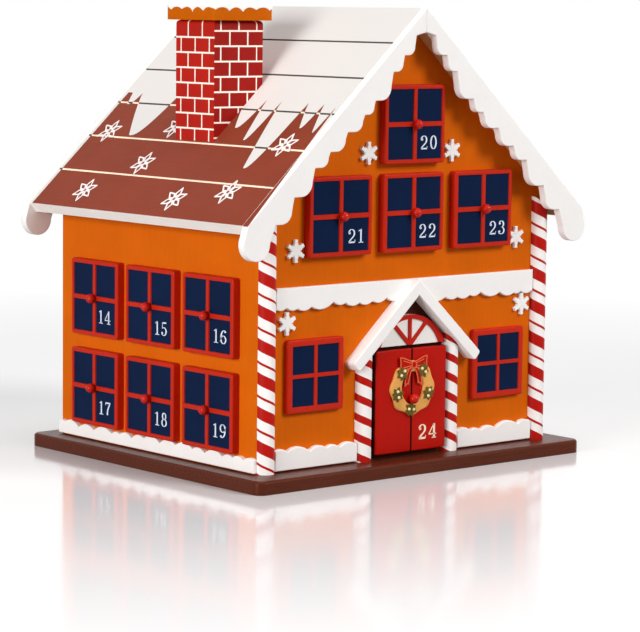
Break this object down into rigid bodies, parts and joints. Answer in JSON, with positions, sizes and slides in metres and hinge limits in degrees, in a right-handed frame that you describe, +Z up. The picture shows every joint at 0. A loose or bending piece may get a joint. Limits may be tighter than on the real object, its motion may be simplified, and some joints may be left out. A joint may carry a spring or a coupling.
{
  "type": "wooden advent calendar house",
  "caption": "Gingerbread-house advent calendar of painted wood, with numbered window drawers that slide out of its walls, a door drawer, scalloped icing boards, a chimney and a base board.",
  "frame": {"origin": "bottom centre of the base board", "axes": "+Z up, -Y out of the front with the door, +X to the right seen from the front"},
  "size_m": [0.3144, 0.261, 0.3165],
  "materials": {
    "base_brown": "satin brown paint on board",
    "gingerbread_orange": "satin orange-brown paint",
    "icing_white": "matt white paint",
    "roof_brown": "painted planks, brown below and snow white above",
    "brick_red": "painted brick with cream joints",
    "cap_orange": "orange paint with a white top",
    "candy_stripe": "white paint with red stripes",
    "window_red": "red paint with dark blue panes",
    "bare_ply": "unpainted plywood"
  },
  "bodies": {
    "house": {"base_board": "base_brown", "front_wall": "gingerbread_orange", "back_wall": "gingerbread_orange", "left_wall": "gingerbread_orange", "right_wall": "gingerbread_orange", "roof_left": "roof_brown", "roof_right": "roof_brown", "barge_front_left": "icing_white", "barge_front_right": "icing_white", "barge_back_left": "icing_white", "barge_back_right": "icing_white", "chimney_stack": "brick_red", "chimney_cap": "cap_orange", "corner_posts": "candy_stripe", "door_posts": "candy_stripe", "porch_rafter_left": "icing_white", "porch_rafter_right": "icing_white", "fanlight": "icing_white", "icing_band": "icing_white", "base_snow_front": "icing_white", "base_snow_left": "icing_white", "base_snow_right": "icing_white", "snowflakes": "icing_white", "false_window_left": "window_red", "false_window_right": "window_red", "attic_floor": "bare_ply", "inner_wall_left": "bare_ply", "inner_wall_right": "bare_ply", "side_shelves": "bare_ply", "side_dividers": "bare_ply", "back_shelves": "bare_ply", "back_dividers": "bare_ply", "door_drawer_bed": "bare_ply", "attic_dividers": "bare_ply", "gable_shelf": "bare_ply"},
    "drawer_01": {"drawer_01": "window_red"},
    "drawer_02": {"drawer_02": "window_red"},
    "drawer_03": {"drawer_03": "window_red"},
    "drawer_04": {"drawer_04": "window_red"},
    "drawer_05": {"drawer_05": "window_red"},
    "drawer_06": {"drawer_06": "window_red"},
    "drawer_07": {"drawer_07": "window_red"},
    "drawer_08": {"drawer_08": "window_red"},
    "drawer_09": {"drawer_09": "window_red"},
    "drawer_10": {"drawer_10": "window_red"},
    "drawer_11": {"drawer_11": "window_red"},
    "drawer_12": {"drawer_12": "window_red"},
    "drawer_13": {"drawer_13": "window_red"},
    "drawer_14": {"drawer_14": "window_red"},
    "drawer_15": {"drawer_15": "window_red"},
    "drawer_16": {"drawer_16": "window_red"},
    "drawer_17": {"drawer_17": "window_red"},
    "drawer_18": {"drawer_18": "window_red"},
    "drawer_19": {"drawer_19": "window_red"},
    "drawer_20": {"drawer_20": "window_red"},
    "drawer_21": {"drawer_21": "window_red"},
    "drawer_22": {"drawer_22": "window_red"},
    "drawer_23": {"drawer_23": "window_red"},
    "drawer_24": {"drawer_24": "window_red"}
  },
  "joints": [
    {"name": "drawer_01_slide", "type": "slide", "parent": "house", "child": "drawer_01", "axis": [1, 0, 0], "range_m": [0, 0.058]},
    {"name": "drawer_02_slide", "type": "slide", "parent": "house", "child": "drawer_02", "axis": [1, 0, 0], "range_m": [0, 0.058]},
    {"name": "drawer_03_slide", "type": "slide", "parent": "house", "child": "drawer_03", "axis": [1, 0, 0], "range_m": [0, 0.058]},
    {"name": "drawer_04_slide", "type": "slide", "parent": "house", "child": "drawer_04", "axis": [1, 0, 0], "range_m": [0, 0.058]},
    {"name": "drawer_05_slide", "type": "slide", "parent": "house", "child": "drawer_05", "axis": [1, 0, 0], "range_m": [0, 0.058]},
    {"name": "drawer_06_slide", "type": "slide", "parent": "house", "child": "drawer_06", "axis": [1, 0, 0], "range_m": [0, 0.058]},
    {"name": "drawer_07_slide", "type": "slide", "parent": "house", "child": "drawer_07", "axis": [0, 1, 0], "range_m": [0, 0.058]},
    {"name": "drawer_08_slide", "type": "slide", "parent": "house", "child": "drawer_08", "axis": [0, 1, 0], "range_m": [0, 0.058]},
    {"name": "drawer_09_slide", "type": "slide", "parent": "house", "child": "drawer_09", "axis": [0, 1, 0], "range_m": [0, 0.058]},
    {"name": "drawer_10_slide", "type": "slide", "parent": "house", "child": "drawer_10", "axis": [0, 1, 0], "range_m": [0, 0.058]},
    {"name": "drawer_11_slide", "type": "slide", "parent": "house", "child": "drawer_11", "axis": [0, 1, 0], "range_m": [0, 0.058]},
    {"name": "drawer_12_slide", "type": "slide", "parent": "house", "child": "drawer_12", "axis": [0, 1, 0], "range_m": [0, 0.058]},
    {"name": "drawer_13_slide", "type": "slide", "parent": "house", "child": "drawer_13", "axis": [0, 1, 0], "range_m": [0, 0.058]},
    {"name": "drawer_14_slide", "type": "slide", "parent": "house", "child": "drawer_14", "axis": [-1, 0, 0], "range_m": [0, 0.058]},
    {"name": "drawer_15_slide", "type": "slide", "parent": "house", "child": "drawer_15", "axis": [-1, 0, 0], "range_m": [0, 0.058]},
    {"name": "drawer_16_slide", "type": "slide", "parent": "house", "child": "drawer_16", "axis": [-1, 0, 0], "range_m": [0, 0.058]},
    {"name": "drawer_17_slide", "type": "slide", "parent": "house", "child": "drawer_17", "axis": [-1, 0, 0], "range_m": [0, 0.058]},
    {"name": "drawer_18_slide", "type": "slide", "parent": "house", "child": "drawer_18", "axis": [-1, 0, 0], "range_m": [0, 0.058]},
    {"name": "drawer_19_slide", "type": "slide", "parent": "house", "child": "drawer_19", "axis": [-1, 0, 0], "range_m": [0, 0.058]},
    {"name": "drawer_20_slide", "type": "slide", "parent": "house", "child": "drawer_20", "axis": [0, -1, 0], "range_m": [0, 0.058]},
    {"name": "drawer_21_slide", "type": "slide", "parent": "house", "child": "drawer_21", "axis": [0, -1, 0], "range_m": [0, 0.058]},
    {"name": "drawer_22_slide", "type": "slide", "parent": "house", "child": "drawer_22", "axis": [0, -1, 0], "range_m": [0, 0.058]},
    {"name": "drawer_23_slide", "type": "slide", "parent": "house", "child": "drawer_23", "axis": [0, -1, 0], "range_m": [0, 0.058]},
    {"name": "drawer_24_slide", "type": "slide", "parent": "house", "child": "drawer_24", "axis": [0, -1, 0], "range_m": [0, 0.058]}
  ]
}
